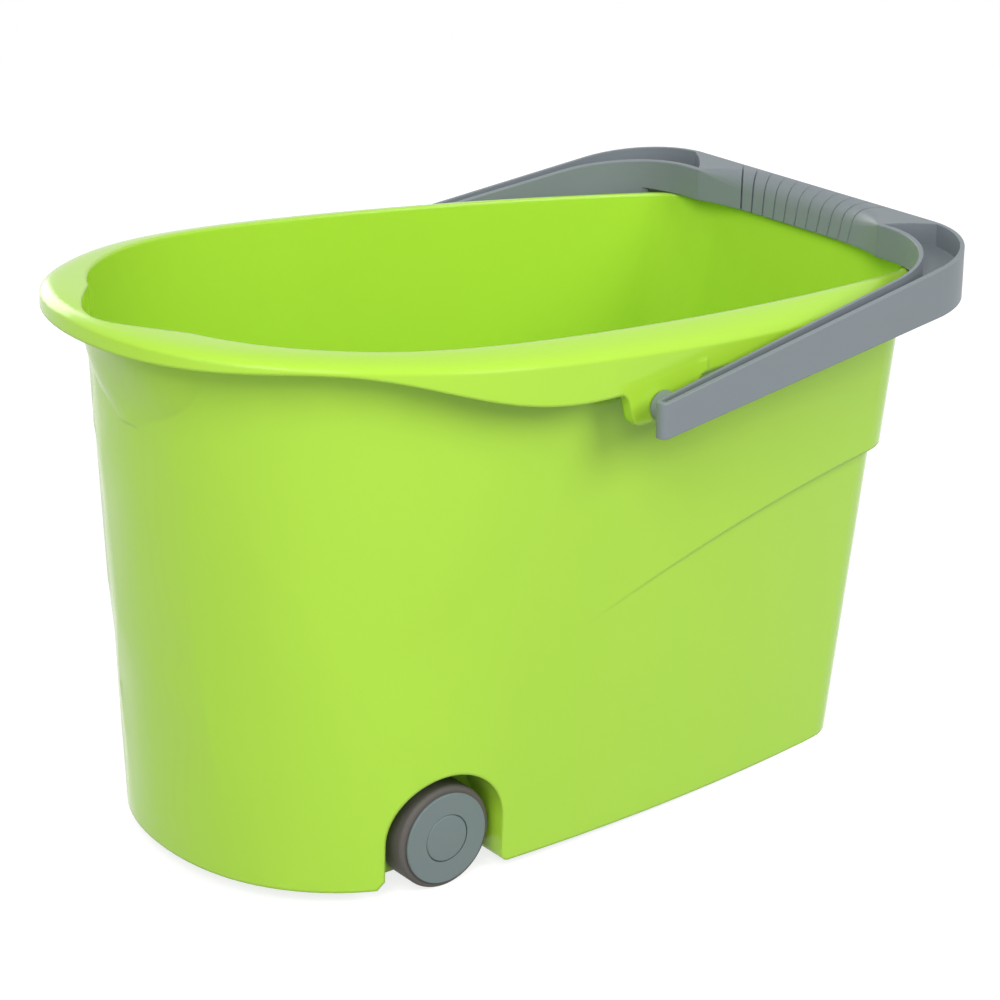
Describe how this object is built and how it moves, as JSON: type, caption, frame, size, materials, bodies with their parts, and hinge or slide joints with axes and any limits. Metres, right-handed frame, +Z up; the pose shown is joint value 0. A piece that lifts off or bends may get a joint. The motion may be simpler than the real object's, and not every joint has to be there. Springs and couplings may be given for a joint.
{
  "type": "wheeled cleaning bucket",
  "caption": "Moulded cleaning bucket with a pouring lip, a stepped-in rear, wheels under the front end and a grey bail handle that lies back over the rear rim.",
  "frame": {"origin": "on the floor, under the middle of the bounding box", "axes": "+X from the spout to the grip end, +Z up, the pictured side faces -Y"},
  "size_m": [0.4215, 0.2908, 0.2641],
  "materials": {
    "tub_plastic": "satin moulded polypropylene",
    "handle_plastic": "fine moulded grain",
    "wheel_plastic": "satin",
    "cap_plastic": "satin",
    "tyre_rubber": "matt",
    "axle_steel": "zinc plated"
  },
  "bodies": {
    "tub": {"tub": "tub_plastic", "axle": "axle_steel", "washer_left": "axle_steel", "washer_right": "axle_steel", "retainer_left": "axle_steel", "retainer_right": "axle_steel"},
    "handle": {"handle": "handle_plastic"},
    "wheel_left": {"hub_left": "wheel_plastic", "tyre_left": "tyre_rubber", "hub_cap_left": "cap_plastic"},
    "wheel_right": {"hub_right": "wheel_plastic", "tyre_right": "tyre_rubber", "hub_cap_right": "cap_plastic"}
  },
  "joints": [
    {"name": "handle_swing", "type": "hinge", "parent": "tub", "child": "handle", "pos_m": [-0.0015, 0, 0.218], "axis": [0, -1, 0], "range_deg": [0, 150]},
    {"name": "wheel_left_spin", "type": "hinge", "parent": "tub", "child": "wheel_left", "pos_m": [-0.0935, -0.086, 0.0245], "axis": [0, 1, 0], "continuous": true},
    {"name": "wheel_right_spin", "type": "hinge", "parent": "tub", "child": "wheel_right", "pos_m": [-0.0935, 0.086, 0.0245], "axis": [0, 1, 0], "continuous": true}
  ]
}
